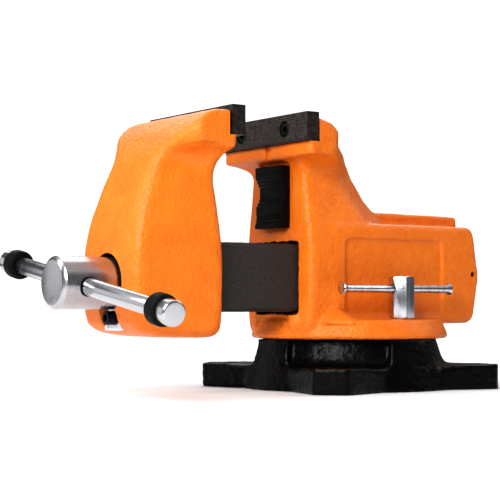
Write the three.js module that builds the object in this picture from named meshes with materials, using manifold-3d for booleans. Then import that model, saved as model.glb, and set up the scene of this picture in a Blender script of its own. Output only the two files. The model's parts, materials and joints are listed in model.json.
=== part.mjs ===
// Bench vise with a swivel base, jaws 4.5 inches wide.
// Millimetres, +Z up. The origin is on the swivel axis, in the plane of the bench.
// +Y points from the handle to the tail, +X is the vise's right-hand side.
import * as THREE from 'three';
import { mergeVertices } from 'three/addons/utils/BufferGeometryUtils.js';
import Module from 'manifold-3d';

const wasm = await Module();
wasm.setup();

// ---- driving dimensions ----
const GAP = 0.3;                       // clearance between pieces that touch
const PAST = 1;                        // how far a cutting tool runs past a face

const JAW_WIDTH = 114.3;
const JAW_TOP = 207.5;
const JAW_OPENING = 54;
const INSERT_HEIGHT = 21.5;
const INSERT_THICKNESS = 11.7;
const STATIC_GRIP_Y = -85;             // face of the static insert
const STATIC_LEDGE_Y = -81.4;          // front of the cast ledge under the static insert
const FRONT_LEDGE_Y = -146.1;          // rear of the cast ledge under the front insert
const NOTCH_LEFT_X = -1.5;             // small cast notch in the static ledge
const NOTCH_RIGHT_X = 5.5;
const NOTCH_DEPTH = 2.4;
const NOTCH_HEIGHT = 9;
const INSERT_SCREW_X = 28.5;
const SCREW_HEAD_R = 4.8;
const SCREW_SHANK_R = 3;
const COUNTERBORE_R = 6.1;
const COUNTERBORE_DEPTH = 7;

const SPINDLE_Z = 80;
const SPINDLE_R = 11;
const SPINDLE_END_Y = 33;
const HUB_R = 18.75;
const HUB_FRONT_Y = -264;
const HUB_SHOULDER_Y = -205;
const HUB_BORE_R = 21.5;
const GROOVE_R = 12.6;                 // root of the retainer's groove
const RETAINER_FRONT_Y = -215.4;
const RETAINER_THICKNESS = 4.5;
const RETAINER_HALF_WIDTH = 11.7;
const RETAINER_BOTTOM = 46.2;
const RETAINER_TOP = 74;
const RETAINER_SCREW_Z = 55.3;
const RETAINER_SCREW_HEAD = 5.8;       // length of the head
const WASHER_THICKNESS = 2.5;

const HANDLE_Y = -244;
const HANDLE_TILT = 9.2;               // degrees, the right end is the low one
const HANDLE_R = 6.35;
const HANDLE_RIGHT_END = 132;
const HANDLE_LEFT_END = -111.5;
const CAP_R = 8.7;
const CAP_LENGTH = 10.8;
const CAP_SOCKET = 7;
const BUMPER_R = 10.8;
const BUMPER_LENGTH = 11.4;

const BAR_HALF_WIDTH = 26;
const BAR_BOTTOM = 59.5;
const BAR_TOP = 111;
const BAR_WALL = 11;
const BAR_FRONT_Y = -188;
const BAR_REAR_Y = 30;
const SLIDE_CLEARANCE = 0.5;

const COLUMN_FRONT_Y = -71;
const BODY_HALF_WIDTH = 43;
const CHANNEL_REAR_Y = 103;
const MOUTH_CLEARANCE = 2.4;           // cast relief round the slide bar where it enters the column
const MOUTH_DEPTH = 8;
const WEB_TOP = 63.5;                  // apex of the web between flange and column
const RIB_HALF_WIDTH = 20;
const RIB_TOP = 138;

const FLANGE_BOTTOM = 38.7;
const FLANGE_TOP = 53.5;
const FLANGE_R = 78;
const SPIGOT_R = 20;
const SPIGOT_BOTTOM = 24;

const BASE_TOP_R = 77;
const BASE_FOOT_R = 86;
const LUG_HEIGHT = 18.4;
const LUG_REACH = 117;
const LUG_TIP_HALF_WIDTH = 12.3;
const LUG_ROOT_HALF_WIDTH = 38;
const LUG_ROOT_DISTANCE = 72;
const LUG_ANGLES = [45, 135, 225, 315];
const POCKET_R = 69;                   // back wall of the pocket over each lug
const BENCH_BOLT_RADIUS = 97;
const BENCH_BOLT_HOLE_R = 6;

const LOCK_X = 58;
const LOCK_Y = 5;
const LOCK_BOLT_R = 5;
const T_SLOT_NECK = 5.3;               // half width of the neck
const T_SLOT_INNER_R = 46.5;
const T_SLOT_FLOOR = 20;
const T_SLOT_LIP = 29;
const LOCK_NUT_CORNER_R = 10;
const LOCK_NUT_TOP = 86.5;
const LOCK_NUT_TURN = 14.6;            // degrees from a corner that points along the T-bar
const LOCK_BAR_Z = 77;
const LOCK_BAR_R = 3.1;
const LOCK_BAR_HALF_LENGTH = 54;
const LOCK_BAR_CENTRE_Y = -4.5;        // from the lock nut's axis

const PIPE_JAW_HALF_WIDTH = 17;
const PIPE_JAW_BOTTOM = 123.5;
const PIPE_JAW_TOP = 171;
const PIPE_JAW_STEM_R = 6;
const PIPE_JAW_STEM_LENGTH = 12;
const STATIC_PIPE_SEAT_Y = -70.5;
const FRONT_PIPE_SEAT_Y = -149;

const NUT_FRONT_Y = -64;
const NUT_REAR_Y = -34;
const NUT_HALF_WIDTH = 14.4;
const NUT_TOP = 95;
const NUT_BOLT_Y = -49;
const TAIL_PIN_Y = 94;
const TAIL_PIN_Z = 89.4;
const TAIL_PIN_R = 2;

// places worked out from the dimensions above
const INSERT_BOTTOM = JAW_TOP - INSERT_HEIGHT;
const FRONT_GRIP_Y = STATIC_GRIP_Y - JAW_OPENING;
const STATIC_SEAT_Y = STATIC_GRIP_Y + INSERT_THICKNESS;
const FRONT_SEAT_Y = FRONT_GRIP_Y - INSERT_THICKNESS;
const BAR_INNER_HALF_WIDTH = BAR_HALF_WIDTH - BAR_WALL;
const BAR_INNER_TOP = BAR_TOP - BAR_WALL;
const LOCK_RADIUS = Math.hypot(LOCK_X, LOCK_Y);
const T_SLOT_OUTER_R = LOCK_RADIUS + T_SLOT_NECK;
const RETAINER_REAR_Y = RETAINER_FRONT_Y + RETAINER_THICKNESS;
const RAD = Math.PI / 180;
const FINE = 40;                       // facets round a large circle
const COARSE = 20;                     // facets round a small one

// ---- solids ----
function solid(geometry) {
  geometry.deleteAttribute('normal');
  geometry.deleteAttribute('uv');
  const merged = mergeVertices(geometry, 1e-4);
  return new wasm.Manifold(new wasm.Mesh({
    numProp: 3,
    vertProperties: new Float32Array(merged.attributes.position.array),
    triVerts: new Uint32Array(merged.index.array),
  }));
}

function block(x0, x1, y0, y1, z0, z1) {
  const geometry = new THREE.BoxGeometry(x1 - x0, y1 - y0, z1 - z0);
  return solid(geometry.translate((x0 + x1) / 2, (y0 + y1) / 2, (z0 + z1) / 2));
}

// A closed outline of [a, b] pairs, extruded; bevel rounds the edges of both end faces inwards.
function extrude(outline, length, bevel) {
  const shape = new THREE.Shape(outline.map(([a, b]) => new THREE.Vector2(a, b)));
  const geometry = new THREE.ExtrudeGeometry(shape, {
    depth: length - 2 * bevel,
    bevelEnabled: bevel > 0,
    bevelThickness: bevel,
    bevelSize: bevel,
    bevelOffset: -bevel,
    bevelSegments: 2,
  });
  return geometry.translate(0, 0, bevel);
}

// Outlines in plan (x, y), in side view (y, z) and in front view (x, z).
function prismZ(outline, z0, z1, bevel = 0) {
  return solid(extrude(outline, z1 - z0, bevel).translate(0, 0, z0));
}

function prismX(outline, x0, x1, bevel = 0) {
  const turn = new THREE.Matrix4().set(0, 0, 1, x0, 1, 0, 0, 0, 0, 1, 0, 0, 0, 0, 0, 1);
  return solid(extrude(outline, x1 - x0, bevel).applyMatrix4(turn));
}

function prismY(outline, y0, y1, bevel = 0) {
  const turn = new THREE.Matrix4().set(1, 0, 0, 0, 0, 0, -1, y1, 0, 1, 0, 0, 0, 0, 0, 1);
  return solid(extrude(outline, y1 - y0, bevel).applyMatrix4(turn));
}

// A profile of [radius, height] pairs, from the axis back to the axis, turned about Z.
function lathe(profile, facets = FINE) {
  const points = profile.map(([r, z]) => new THREE.Vector2(r, z));
  return solid(new THREE.LatheGeometry(points, facets).rotateX(Math.PI / 2));
}

function rodZ(r, z0, z1, facets = COARSE) {
  return lathe([[0, z0], [r, z0], [r, z1], [0, z1]], facets);
}

function alongY(turned) {
  return turned.rotate([-90, 0, 0]);
}

function alongX(turned) {
  return turned.rotate([0, 90, 0]);
}

function unite(...solids) {
  return solids.reduce((sum, next) => sum.add(next));
}

function cut(body, ...tools) {
  return tools.reduce((rest, tool) => rest.subtract(tool), body);
}

function mirrorX(half) {
  return half.mirror([1, 0, 0]);
}

// Replaces each corner of a polygon by an arc of the given radius.
function rounded(corners, radius, steps = 3) {
  const ring = [];
  corners.forEach((corner, i) => {
    const here = new THREE.Vector2(...corner);
    const before = new THREE.Vector2(...corners[(i + corners.length - 1) % corners.length]);
    const after = new THREE.Vector2(...corners[(i + 1) % corners.length]);
    const reach = Math.min(radius, here.distanceTo(before) / 2.1, here.distanceTo(after) / 2.1);
    const start = here.clone().lerp(before, reach / here.distanceTo(before));
    const end = here.clone().lerp(after, reach / here.distanceTo(after));
    const arc = new THREE.QuadraticBezierCurve(start, here, end);
    arc.getPoints(steps).forEach((p) => ring.push([p.x, p.y]));
  });
  return ring;
}

function rectangle(a0, a1, b0, b1) {
  return [[a0, b0], [a1, b0], [a1, b1], [a0, b1]];
}

// A casting whose plan changes with height. Each section is [z, ring]; rings run anticlockwise.
function loft(sections) {
  const sides = sections[0][1].length;
  const rows = sections.length - 1;
  const geometry = new THREE.CylinderGeometry(1, 1, 1, sides, rows);
  const position = geometry.attributes.position;
  for (let i = 0; i < position.count; i += 1) {
    const x = position.getX(i);
    const z = position.getZ(i);
    const row = Math.round((position.getY(i) + 0.5) * rows);
    const [height, ring] = sections[row];
    if (Math.hypot(x, z) < 0.5) {
      const middle = ring.reduce(([a, b], [p, q]) => [a + p / sides, b + q / sides], [0, 0]);
      position.setXYZ(i, middle[0], middle[1], height);
    } else {
      const turn = Math.round(Math.atan2(x, z) / (2 * Math.PI / sides));
      const [a, b] = ring[(turn + sides) % sides];
      position.setXYZ(i, a, b, height);
    }
  }
  return solid(geometry);
}

// A six-cornered plan, the same on both sides: front edge, widest point of the side, rear edge.
function jawSection(z, frontY, frontHalf, sideY, sideHalf, rearY, rearHalf, radius) {
  const corners = [
    [-frontHalf, frontY], [frontHalf, frontY], [sideHalf, sideY],
    [rearHalf, rearY], [-rearHalf, rearY], [-sideHalf, sideY],
  ];
  return [z, rounded(corners, radius)];
}

// ---- materials ----
const paint = { color: 0xf5841f, roughness: 0.45, metalness: 0 };
const blackIron = { color: 0x0c0c0d, roughness: 0.35, metalness: 0.1 };
const castSteel = { color: 0x3b3836, roughness: 0.6, metalness: 0.6 };
const insertSteel = { color: 0x4a4644, roughness: 0.45, metalness: 0.8 };
const chrome = { color: 0xd8d9dc, roughness: 0.08, metalness: 1 };
const zinc = { color: 0xb9c0c9, roughness: 0.25, metalness: 1 };
const blackOxide = { color: 0x141414, roughness: 0.5, metalness: 0.5 };
const rubber = { color: 0x0e0e0e, roughness: 0.8, metalness: 0 };
const bronze = { color: 0x9a7b4f, roughness: 0.5, metalness: 0.8 };

function piece(name, shape, finish) {
  const mesh = shape.getMesh();
  const geometry = new THREE.BufferGeometry();
  geometry.setAttribute('position', new THREE.BufferAttribute(new Float32Array(mesh.vertProperties), 3));
  geometry.setIndex(new THREE.BufferAttribute(new Uint32Array(mesh.triVerts), 1));
  geometry.computeVertexNormals();
  const node = new THREE.Mesh(geometry, new THREE.MeshStandardMaterial(finish));
  node.name = name;
  return node;
}

// ---- swivel base ----
function lug(angle) {
  const outline = [
    [0, -LUG_ROOT_HALF_WIDTH], [LUG_ROOT_DISTANCE, -LUG_ROOT_HALF_WIDTH],
    [LUG_REACH - 1, -LUG_TIP_HALF_WIDTH - 1], [LUG_REACH, -LUG_TIP_HALF_WIDTH + 1],
    [LUG_REACH, LUG_TIP_HALF_WIDTH - 1], [LUG_REACH - 1, LUG_TIP_HALF_WIDTH + 1],
    [LUG_ROOT_DISTANCE, LUG_ROOT_HALF_WIDTH], [0, LUG_ROOT_HALF_WIDTH],
  ];
  return prismZ(outline, 0, LUG_HEIGHT).rotate([0, 0, angle]);
}

// Room over each lug for the bench bolt's head.
function boltPocket(angle) {
  const rim = rodZ(BASE_FOOT_R + 10, LUG_HEIGHT, FLANGE_BOTTOM + PAST, FINE);
  const wall = rodZ(POCKET_R, 0, FLANGE_BOTTOM + 2 * PAST, FINE);
  const sector = block(0, LUG_REACH, -LUG_ROOT_HALF_WIDTH, LUG_ROOT_HALF_WIDTH, 0, FLANGE_BOTTOM + 2 * PAST);
  return rim.subtract(wall).intersect(sector.rotate([0, 0, angle]));
}

function benchBoltHole(angle) {
  return rodZ(BENCH_BOLT_HOLE_R, -PAST, LUG_HEIGHT + PAST, 24)
    .translate([BENCH_BOLT_RADIUS, 0, 0])
    .rotate([0, 0, angle]);
}

function ringZ(inner, outer, z0, z1) {
  return lathe([[inner, z0], [outer, z0], [outer, z1], [inner, z1], [inner, z0]], FINE);
}

function swivelBase() {
  const cone = lathe([
    [0, 0], [BASE_FOOT_R, 0], [BASE_TOP_R, FLANGE_BOTTOM - GAP], [0, FLANGE_BOTTOM - GAP],
  ], 64);
  const slotNeck = ringZ(LOCK_RADIUS - T_SLOT_NECK, T_SLOT_OUTER_R, T_SLOT_FLOOR, FLANGE_BOTTOM + PAST);
  const slotUndercut = ringZ(T_SLOT_INNER_R, T_SLOT_OUTER_R, T_SLOT_FLOOR, T_SLOT_LIP);
  const entry = block(-9, 9, T_SLOT_INNER_R, LOCK_RADIUS, T_SLOT_LIP - PAST, FLANGE_BOTTOM + PAST);
  const socket = rodZ(SPIGOT_R + GAP, SPIGOT_BOTTOM - 2, FLANGE_BOTTOM + PAST, FINE);
  const underside = ringZ(32, 64, -PAST, 9);
  return cut(
    unite(cut(cone, ...LUG_ANGLES.map(boltPocket)), ...LUG_ANGLES.map(lug)),
    slotNeck, slotUndercut, entry, socket, underside, ...LUG_ANGLES.map(benchBoltHole),
  );
}

// ---- body casting ----
function flange() {
  const plate = lathe([
    [0, FLANGE_BOTTOM], [FLANGE_R - 1.5, FLANGE_BOTTOM], [FLANGE_R, FLANGE_BOTTOM + 2.3],
    [FLANGE_R - 4.5, FLANGE_TOP - 1], [FLANGE_R - 6, FLANGE_TOP], [0, FLANGE_TOP],
  ], 64);
  return plate.add(rodZ(SPIGOT_R, SPIGOT_BOTTOM, FLANGE_BOTTOM + PAST, FINE));
}

function column() {
  const radius = 7;
  return loft([
    jawSection(41.5, -70, 37, -20, 39, 0, 30, radius),
    jawSection(46, -71, 39.6, -20, 42, 10, 30, radius),
    jawSection(58, -71, 42, -10, 43, 20, 30, radius),
    jawSection(95, -71, 43.5, -5, 43.5, 30, 26, radius),
    jawSection(112, -71, 42.5, -5, 43, 34, 22, radius),
    jawSection(127, -71, 40.6, -14, 41, 24, 19, radius),
    jawSection(137.4, -71, 39, -22, 38.5, 12, 18.5, radius),
    jawSection(146.7, -71, 37.6, -29, 36.5, 1.5, 18.5, radius),
    jawSection(157, -71, 36, -34, 35, -5.5, 18.5, radius),
    jawSection(164, -71, 35.4, -38, 34.8, -11, 18.5, radius),
    jawSection(168.3, -71.6, 38.6, -41, 37.2, -13.6, 19, radius),
    jawSection(171.5, -73, 44.2, -44, 41.4, -16, 19.6, radius),
    jawSection(174.2, -75.6, 51.6, -49, 48, -18.4, 20.2, 6),
    jawSection(176.6, STATIC_LEDGE_Y, 57, -56, 56, -20.5, 21, 4),
    jawSection(180, STATIC_LEDGE_Y, 57.2, -57, 57.2, -22, 22, 4),
    jawSection(188, STATIC_LEDGE_Y, 57.2, -55, 57.2, -28, 22, 5),
    jawSection(194.6, STATIC_LEDGE_Y, 57.2, -54.3, 57.2, -33, 22, 5),
    jawSection(200.3, STATIC_LEDGE_Y, 57, -60, 56.8, -40, 22, 5),
    jawSection(203.4, STATIC_LEDGE_Y, 56.5, -71, 56, -58, 24, 4),
  ]);
}

function tail() {
  const side = [
    [-50, 50], [90, 50], [94.5, 52.5], [96.6, 57], [101.6, 84], [101.6, 92],
    [96.8, 121], [94.6, 125.6], [90, 127.5], [-50, 127.5],
  ];
  const anvil = [[-10, 118], [98, 118], [98, 136], [96.6, 137.2], [30, RIB_TOP], [-10, RIB_TOP]];
  return unite(
    prismX(side, -BODY_HALF_WIDTH, BODY_HALF_WIDTH, 4),
    prismX(anvil, -RIB_HALF_WIDTH, RIB_HALF_WIDTH, 1.5),
  );
}

// Web that flares from each side of the column to the flange.
function flangeWebs() {
  const web = loft([
    [FLANGE_TOP - 3, [[36, -64], [50, -60], [63, -44], [58, -30], [36, -28]]],
    [FLANGE_TOP + 0.5, [[36, -63], [48, -59], [59, -45], [55, -33], [36, -31]]],
    [WEB_TOP, [[36, -50.5], [42.6, -50.5], [44.2, -48], [42.6, -45.5], [36, -45.5]]],
  ]);
  return unite(web, mirrorX(web));
}

// Shallow recessed panel in each side of the tail.
function sidePanels() {
  const outline = rounded(rectangle(-37, 62, FLANGE_TOP + 3, 116), 6);
  const depth = 2.2;
  const panel = prismX(outline, BODY_HALF_WIDTH - depth, BODY_HALF_WIDTH + 10);
  return unite(panel, mirrorX(panel));
}

function barChannel() {
  const half = BAR_HALF_WIDTH + SLIDE_CLEARANCE;
  const low = BAR_BOTTOM - SLIDE_CLEARANCE;
  const high = BAR_TOP + SLIDE_CLEARANCE;
  const section = rounded(rectangle(-half, half, low, high), 4, 2);
  const channel = prismY(section, COLUMN_FRONT_Y - 15, CHANNEL_REAR_Y);
  const mouth = prismY(
    rounded(rectangle(
      -BAR_HALF_WIDTH - MOUTH_CLEARANCE, BAR_HALF_WIDTH + MOUTH_CLEARANCE,
      BAR_BOTTOM - MOUTH_CLEARANCE, BAR_TOP + MOUTH_CLEARANCE,
    ), 4, 2),
    COLUMN_FRONT_Y - 15, COLUMN_FRONT_Y + MOUTH_DEPTH,
  );
  return unite(channel, mouth);
}

// Screw hole for one insert screw, drilled along Y from the seat.
function insertScrewHoles(seatY, direction) {
  const depth = 16;
  const y0 = Math.min(seatY - direction * PAST, seatY + direction * depth);
  const hole = alongY(rodZ(SCREW_SHANK_R + GAP, 0, depth + PAST))
    .translate([0, y0, INSERT_BOTTOM + INSERT_HEIGHT / 2]);
  return unite(hole.translate([INSERT_SCREW_X, 0, 0]), hole.translate([-INSERT_SCREW_X, 0, 0]));
}

function pipeJawPocket(seatY, direction) {
  const depth = PIPE_JAW_STEM_LENGTH + 1;
  const z = (PIPE_JAW_BOTTOM + PIPE_JAW_TOP) / 2;
  const y0 = direction > 0 ? seatY - PAST : seatY - depth;
  const stem = alongY(rodZ(PIPE_JAW_STEM_R + GAP, 0, depth + PAST)).translate([0, y0, z]);
  const faceY = seatY - direction * 25;
  const half = PIPE_JAW_HALF_WIDTH + 1;
  const seat = block(
    -half, half, Math.min(seatY, faceY), Math.max(seatY, faceY),
    PIPE_JAW_BOTTOM - 1, PIPE_JAW_TOP + 4,
  );
  return unite(stem, seat);
}

function bodyCasting() {
  const seat = block(-60, 60, STATIC_GRIP_Y - 10, STATIC_SEAT_Y + GAP, INSERT_BOTTOM - GAP, JAW_TOP);
  const castNotch = block(
    NOTCH_LEFT_X, NOTCH_RIGHT_X, STATIC_LEDGE_Y - PAST, STATIC_LEDGE_Y + NOTCH_DEPTH,
    INSERT_BOTTOM - NOTCH_HEIGHT, INSERT_BOTTOM,
  );
  const lockHole = rodZ(LOCK_BOLT_R + GAP + 0.2, FLANGE_BOTTOM - PAST, FLANGE_TOP + PAST)
    .translate([LOCK_X, LOCK_Y, 0]);
  const lockFace = rodZ(LOCK_NUT_CORNER_R + 1.5, FLANGE_TOP - 0.2, LOCK_NUT_TOP + 10, FINE)
    .translate([LOCK_X, LOCK_Y, 0]);
  const nutBoltHole = unite(
    rodZ(5.4, FLANGE_BOTTOM, BAR_BOTTOM + PAST),
    rodZ(8.6, FLANGE_BOTTOM - PAST, 49.6, 28),
  ).translate([0, NUT_BOLT_Y, 0]);
  const pinHole = alongX(rodZ(TAIL_PIN_R + GAP, BAR_HALF_WIDTH - 2, BODY_HALF_WIDTH + 5, 16))
    .translate([0, TAIL_PIN_Y, TAIL_PIN_Z]);
  return cut(
    unite(flange(), column(), tail(), flangeWebs()),
    sidePanels(), barChannel(), seat, castNotch,
    insertScrewHoles(STATIC_SEAT_Y, 1), pipeJawPocket(STATIC_PIPE_SEAT_Y, 1),
    lockHole, mirrorX(lockHole), lockFace, mirrorX(lockFace), nutBoltHole, pinHole, mirrorX(pinHole),
  );
}

// ---- front jaw ----
function frontJawBlank() {
  const radius = 9;
  return loft([
    jawSection(41.2, -182, 26, -168, 32, -152, 33, radius),
    jawSection(42.6, -198, 31.5, -178, 36, -148.6, 36.6, radius),
    jawSection(44.4, -207.5, 34.4, -180, 38, -147, 38.2, radius),
    jawSection(46.8, -213.4, 36.6, -180, 38.9, -146, 39.2, radius),
    jawSection(51, -218, 38.6, -180, 39.5, -145.4, 39.7, radius),
    jawSection(62, -220.3, 39.5, -180, 40, -144.5, 40, radius),
    jawSection(82, -220.8, 40, -180, 40.5, -144.5, 40.5, radius),
    jawSection(103, -219.8, 40, -180, 41, -145.3, 41, radius),
    jawSection(118, -217.4, 38.8, -180, 40.3, -146.8, 41, radius),
    jawSection(130, -214.6, 37, -180, 39, -148.6, 40.8, radius),
    jawSection(146, -209.6, 34.6, -180, 37.3, -151, 40.2, radius),
    jawSection(153, -206.9, 34, -180, 36.4, -151.8, 39.6, radius),
    jawSection(157, -205.2, 33.7, -179, 35.8, -152.2, 39.9, radius),
    jawSection(162, -202.8, 33.4, -178, 35, -152.3, 41.7, radius),
    jawSection(167, -200.3, 33.6, -176, 35.4, -151.8, 44.8, radius),
    jawSection(172, -197.4, 34.4, -175, 38.4, -150.6, 49.6, 7),
    jawSection(175, -195.4, 35.6, -175, 43.4, -148.6, 53.8, 5),
    jawSection(177, -194, 37, -175.5, 48.5, FRONT_LEDGE_Y - 0.6, 56.8, 4),
    jawSection(180, -191.6, 39.5, -176, 54.8, FRONT_LEDGE_Y, 57.2, 4),
    jawSection(186, -186.8, 46, -177.5, 57.2, FRONT_LEDGE_Y, 57.2, 4),
    jawSection(191, -182, 52, -177, 57.2, FRONT_LEDGE_Y, 57.2, 4),
    jawSection(196, -176.3, 56.5, -172, 57.2, FRONT_LEDGE_Y, 57.2, 4),
    jawSection(200.4, -170.5, 57, -166, 57.2, FRONT_LEDGE_Y, 57.2, 4),
    jawSection(203.4, -164, 56, -160, 56.5, FRONT_LEDGE_Y, 56.5, 3),
  ]);
}

function frontJaw() {
  const seat = block(-60, 60, FRONT_SEAT_Y - GAP, FRONT_GRIP_Y, INSERT_BOTTOM - GAP, JAW_TOP);
  const hubBore = alongY(rodZ(HUB_BORE_R, 0, 40, FINE))
    .translate([0, HUB_SHOULDER_Y + WASHER_THICKNESS + 2 * GAP - 40, SPINDLE_Z]);
  const screwBore = alongY(rodZ(SPINDLE_R + 0.8, -230, -150, FINE)).translate([0, 0, SPINDLE_Z]);
  const half = BAR_HALF_WIDTH + GAP;
  const barSocket = prismY(
    rounded(rectangle(-half, half, BAR_BOTTOM - GAP, BAR_TOP + GAP), 4, 2),
    BAR_FRONT_Y - GAP, -130,
  );
  const retainerSlot = block(
    -RETAINER_HALF_WIDTH - GAP, RETAINER_HALF_WIDTH + GAP, -240, RETAINER_REAR_Y + GAP, 30, SPINDLE_Z,
  );
  const retainerScrewHole = alongY(rodZ(SCREW_SHANK_R + GAP, -220, -200))
    .translate([0, 0, RETAINER_SCREW_Z]);
  return cut(
    frontJawBlank(), seat, hubBore, screwBore, barSocket, retainerSlot, retainerScrewHole,
    insertScrewHoles(FRONT_SEAT_Y, -1), pipeJawPocket(FRONT_PIPE_SEAT_Y, -1),
  );
}

// ---- slide bar ----
function slideBar() {
  const outer = rounded(rectangle(-BAR_HALF_WIDTH, BAR_HALF_WIDTH, BAR_BOTTOM, BAR_TOP), 4, 2);
  const inner = rectangle(-BAR_INNER_HALF_WIDTH, BAR_INNER_HALF_WIDTH, BAR_BOTTOM - 10, BAR_INNER_TOP);
  return cut(
    prismY(outer, BAR_FRONT_Y, BAR_REAR_Y),
    prismY(inner, BAR_FRONT_Y - PAST, BAR_REAR_Y + PAST),
  );
}

// ---- jaw inserts, screws and pipe jaws ----
// Built with the grip face at y = 0 and the back at y = INSERT_THICKNESS.
function jawInsert() {
  const half = JAW_WIDTH / 2;
  const plate = prismX(rectangle(0, INSERT_THICKNESS, 0, INSERT_HEIGHT), -half, half, 0.6);
  const hole = alongY(unite(
    rodZ(SCREW_SHANK_R + GAP, -PAST, INSERT_THICKNESS + PAST),
    rodZ(COUNTERBORE_R, -PAST, COUNTERBORE_DEPTH, 28),
  )).translate([0, 0, INSERT_HEIGHT / 2]);
  return cut(plate, hole.translate([INSERT_SCREW_X, 0, 0]), hole.translate([-INSERT_SCREW_X, 0, 0]));
}

// Socket screw along +Y: the face of its head is at y = 0.
function socketScrew(headR, headLength, shankR, length) {
  const key = new THREE.CylinderGeometry(headR * 0.55, headR * 0.55, headLength * 1.2, 6);
  return cut(
    alongY(unite(
      lathe([[0, 0], [headR - 0.5, 0], [headR, 0.5], [headR, headLength], [0, headLength]], 28),
      rodZ(shankR, headLength / 2, headLength + length),
    )),
    solid(key),
  );
}

// Pipe jaw with its back at y = 0, its hollow serrated face towards -y, and a stem behind.
function pipeJaw() {
  const middle = (PIPE_JAW_BOTTOM + PIPE_JAW_TOP) / 2;
  const face = [
    [-8.5, PIPE_JAW_TOP], [-8.5, 163.5], [-7, 162.6], [-7.4, 160.2], [-5.6, 159.3], [-6, 156.9],
    [-4.2, 156], [-4.2, 149], [-5, 144.4], [-6.6, 143.6], [-6.4, 141.4], [-7.8, 140.6], [-7.8, 134.6],
    [-7, 134], [-7.8, 133.4], [-7.8, 132.4], [-7, 131.8], [-7.8, 131.2], [-7.8, 128.6], [-9, 126.5],
    [-9, PIPE_JAW_BOTTOM],
  ];
  const outline = [[0, PIPE_JAW_BOTTOM], [0, PIPE_JAW_TOP], ...face];
  const plate = prismX(outline, -PIPE_JAW_HALF_WIDTH, PIPE_JAW_HALF_WIDTH);
  const stem = alongY(rodZ(PIPE_JAW_STEM_R, -PAST, PIPE_JAW_STEM_LENGTH)).translate([0, 0, middle]);
  return unite(plate, stem);
}

// ---- spindle, nut and retainer ----
function spindle() {
  const grooveFront = RETAINER_FRONT_Y - GAP;
  const grooveRear = RETAINER_REAR_Y + GAP;
  const profile = [
    [0, HUB_FRONT_Y], [HUB_R - 2, HUB_FRONT_Y], [HUB_R, HUB_FRONT_Y + 2],
    [HUB_R, grooveFront], [GROOVE_R, grooveFront], [GROOVE_R, grooveRear], [HUB_R, grooveRear],
    [HUB_R, HUB_SHOULDER_Y], [SPINDLE_R, HUB_SHOULDER_Y], [SPINDLE_R, SPINDLE_END_Y - 2],
    [SPINDLE_R - 2, SPINDLE_END_Y], [0, SPINDLE_END_Y],
  ];
  const crossHole = alongX(rodZ(HANDLE_R + 0.5, -30, 30, 28))
    .rotate([0, HANDLE_TILT, 0])
    .translate([0, HANDLE_Y, SPINDLE_Z]);
  return cut(alongY(lathe(profile, 48)).translate([0, 0, SPINDLE_Z]), crossHole);
}

function thrustWasher() {
  const y0 = HUB_SHOULDER_Y + GAP;
  const disc = alongY(ringZ(SPINDLE_R + GAP, HUB_R, y0, y0 + WASHER_THICKNESS));
  return disc.translate([0, 0, SPINDLE_Z]);
}

function spindleRetainer() {
  const plate = prismY(
    rectangle(-RETAINER_HALF_WIDTH, RETAINER_HALF_WIDTH, RETAINER_BOTTOM, RETAINER_TOP),
    RETAINER_FRONT_Y, RETAINER_REAR_Y,
  );
  const saddle = alongY(rodZ(GROOVE_R + GAP, -230, -200, FINE)).translate([0, 0, SPINDLE_Z]);
  const screwHole = alongY(rodZ(SCREW_SHANK_R + GAP, -230, -200)).translate([0, 0, RETAINER_SCREW_Z]);
  return cut(plate, saddle, screwHole);
}

function spindleNut() {
  const foot = BAR_BOTTOM - SLIDE_CLEARANCE + GAP;
  const blank = block(-NUT_HALF_WIDTH, NUT_HALF_WIDTH, NUT_FRONT_Y, NUT_REAR_Y, foot, NUT_TOP);
  const bore = alongY(rodZ(SPINDLE_R + GAP, -80, -20, FINE)).translate([0, 0, SPINDLE_Z]);
  const boltHole = rodZ(5.3, 50, 65.5).translate([0, NUT_BOLT_Y, 0]);
  return cut(blank, bore, boltHole);
}

function nutBolt() {
  return socketScrew(8, 10, 5, 15.5).rotate([90, 0, 0]).translate([0, NUT_BOLT_Y, 39.3]);
}

// ---- handle, in its own frame: local X runs along the bar ----
function handleBar() {
  const inset = CAP_LENGTH - CAP_SOCKET + GAP;
  return alongX(lathe([
    [0, HANDLE_LEFT_END + inset], [HANDLE_R, HANDLE_LEFT_END + inset],
    [HANDLE_R, HANDLE_RIGHT_END - inset], [0, HANDLE_RIGHT_END - inset],
  ], 32));
}

function handleCap() {
  const outer = lathe([
    [0, 0], [CAP_R - 1, 0], [CAP_R, 1], [CAP_R, CAP_LENGTH - 3], [CAP_R - 0.9, CAP_LENGTH - 0.9],
    [CAP_R - 3, CAP_LENGTH], [0, CAP_LENGTH],
  ], 36);
  return alongX(cut(outer, rodZ(HANDLE_R + GAP, -PAST, CAP_SOCKET, 32)));
}

function handleBumper() {
  return alongX(lathe([
    [HANDLE_R + GAP, 0], [BUMPER_R - 1.5, 0], [BUMPER_R, 1.5], [BUMPER_R, BUMPER_LENGTH - 1.5],
    [BUMPER_R - 1.5, BUMPER_LENGTH], [HANDLE_R + GAP, BUMPER_LENGTH], [HANDLE_R + GAP, 0],
  ], 36));
}

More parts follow.
